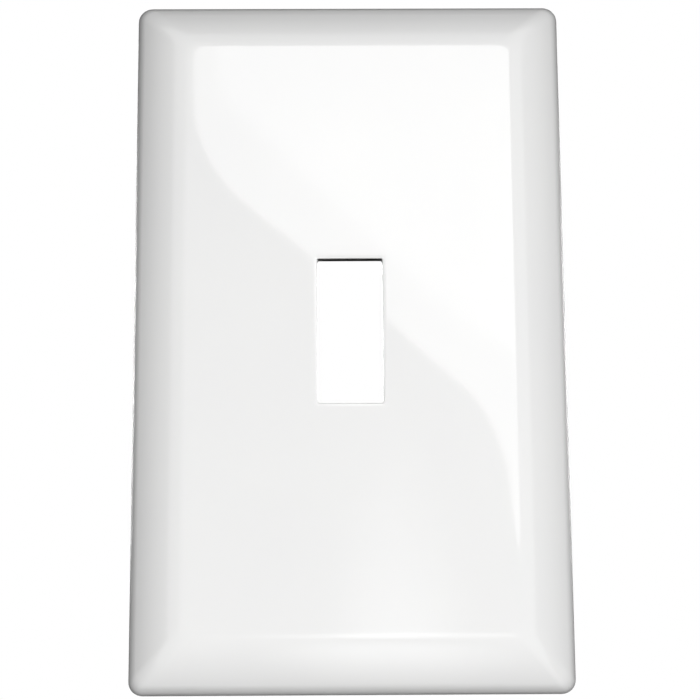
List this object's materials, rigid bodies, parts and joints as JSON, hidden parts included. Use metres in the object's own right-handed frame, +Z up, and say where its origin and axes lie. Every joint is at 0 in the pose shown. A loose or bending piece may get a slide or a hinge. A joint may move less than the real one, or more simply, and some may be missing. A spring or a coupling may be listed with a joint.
{
  "type": "screwless toggle switch wall plate",
  "caption": "Glossy white one-gang wall plate with a mitred bevel and a toggle opening, whose cover snaps over a screwed sub-plate.",
  "frame": {"origin": "on the wall plane, midway between the two screws, which is the middle of the toggle opening", "axes": "+Z up the wall, +X to the right as one faces the plate, +Y into the wall, so the face looks along -Y"},
  "size_m": [0.0698, 0.0163, 0.1142],
  "materials": {
    "gloss_white_abs": "polished moulded white",
    "satin_white_polycarbonate": "fine spark-eroded mould texture",
    "zinc_plated_steel": "bright zinc plating"
  },
  "bodies": {
    "mounting": {"sub_plate": "satin_white_polycarbonate"},
    "cover": {"cover_plate": "gloss_white_abs"},
    "upper_screw": {"upper_screw": "zinc_plated_steel"},
    "lower_screw": {"lower_screw": "zinc_plated_steel"}
  },
  "joints": [
    {"name": "cover_pull", "type": "slide", "parent": "mounting", "child": "cover", "axis": [0, -1, 0], "range_m": [0, 0.03]},
    {"name": "upper_screw_turn", "type": "hinge", "parent": "mounting", "child": "upper_screw", "pos_m": [0, 0, 0.03017], "axis": [0, -1, 0], "continuous": true},
    {"name": "lower_screw_turn", "type": "hinge", "parent": "mounting", "child": "lower_screw", "pos_m": [0, 0, -0.03017], "axis": [0, -1, 0], "continuous": true}
  ]
}
